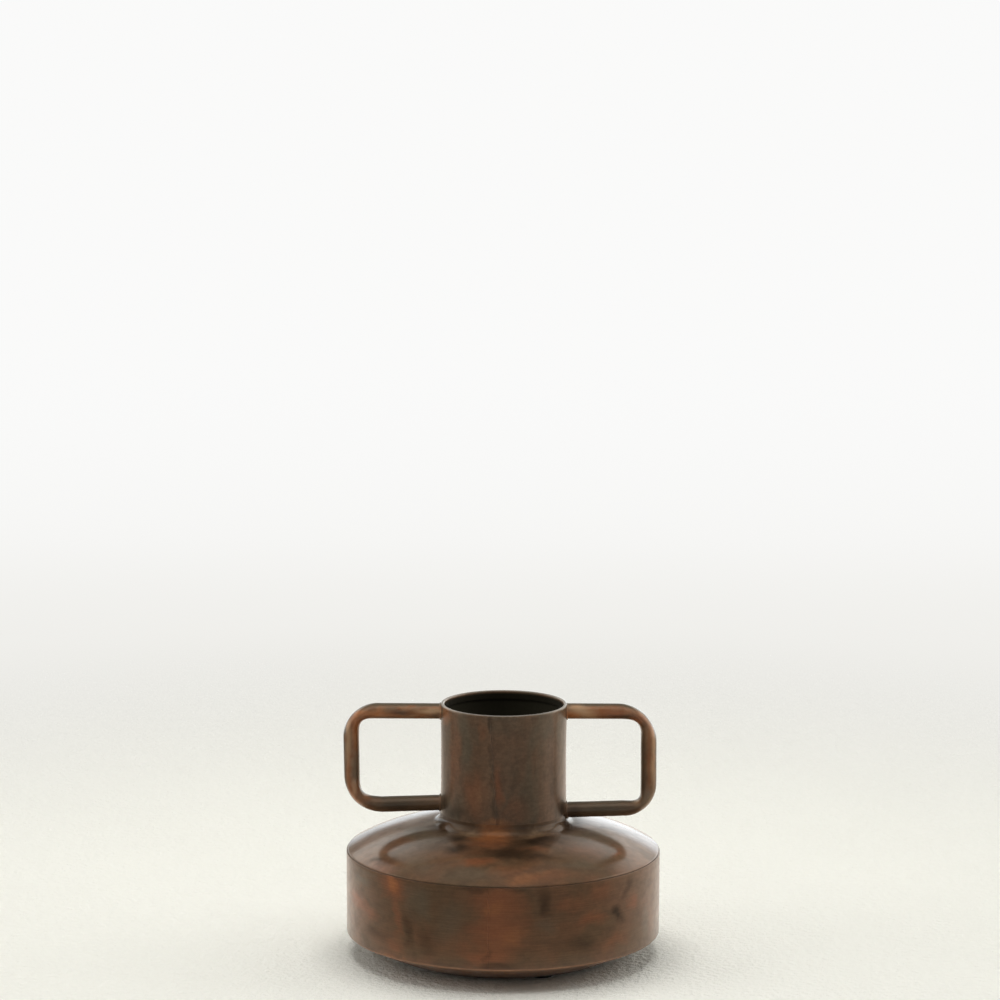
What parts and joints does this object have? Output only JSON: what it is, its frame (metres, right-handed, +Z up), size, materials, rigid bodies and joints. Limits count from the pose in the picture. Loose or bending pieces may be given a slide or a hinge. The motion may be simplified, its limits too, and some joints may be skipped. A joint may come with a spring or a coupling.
{
  "type": "urn vase",
  "caption": "Round sheet-metal urn vase with a straight open neck, a low domed shoulder, a straight band and looped tube handles.",
  "frame": {"origin": "on the body's axis, at the surface that the vase stands on", "axes": "+Z up along the body's axis, -Y towards the front with the neck's weld line, +X towards the shorter, taller handle"},
  "size_m": [0.323, 0.32, 0.259],
  "materials": {
    "patinated_sheet": "mottled brown, copper and grey-green patina under satin lacquer",
    "handle_tube": "dark brown patina with copper streaks under satin lacquer",
    "weld_metal": "dark heat-stained weld",
    "pad_rubber": "matt black"
  },
  "bodies": {
    "root": {"neck_tube": "patinated_sheet", "shoulder_dome": "patinated_sheet", "side_band": "patinated_sheet", "base_dish": "patinated_sheet", "left_handle": "handle_tube", "right_handle": "handle_tube", "left_upper_weld": "weld_metal", "left_lower_weld": "weld_metal", "right_upper_weld": "weld_metal", "right_lower_weld": "weld_metal", "neck_seam_weld": "weld_metal", "band_seam_weld": "weld_metal", "front_pad": "pad_rubber", "rear_pad": "pad_rubber", "side_pad": "pad_rubber"}
  },
  "joints": []
}
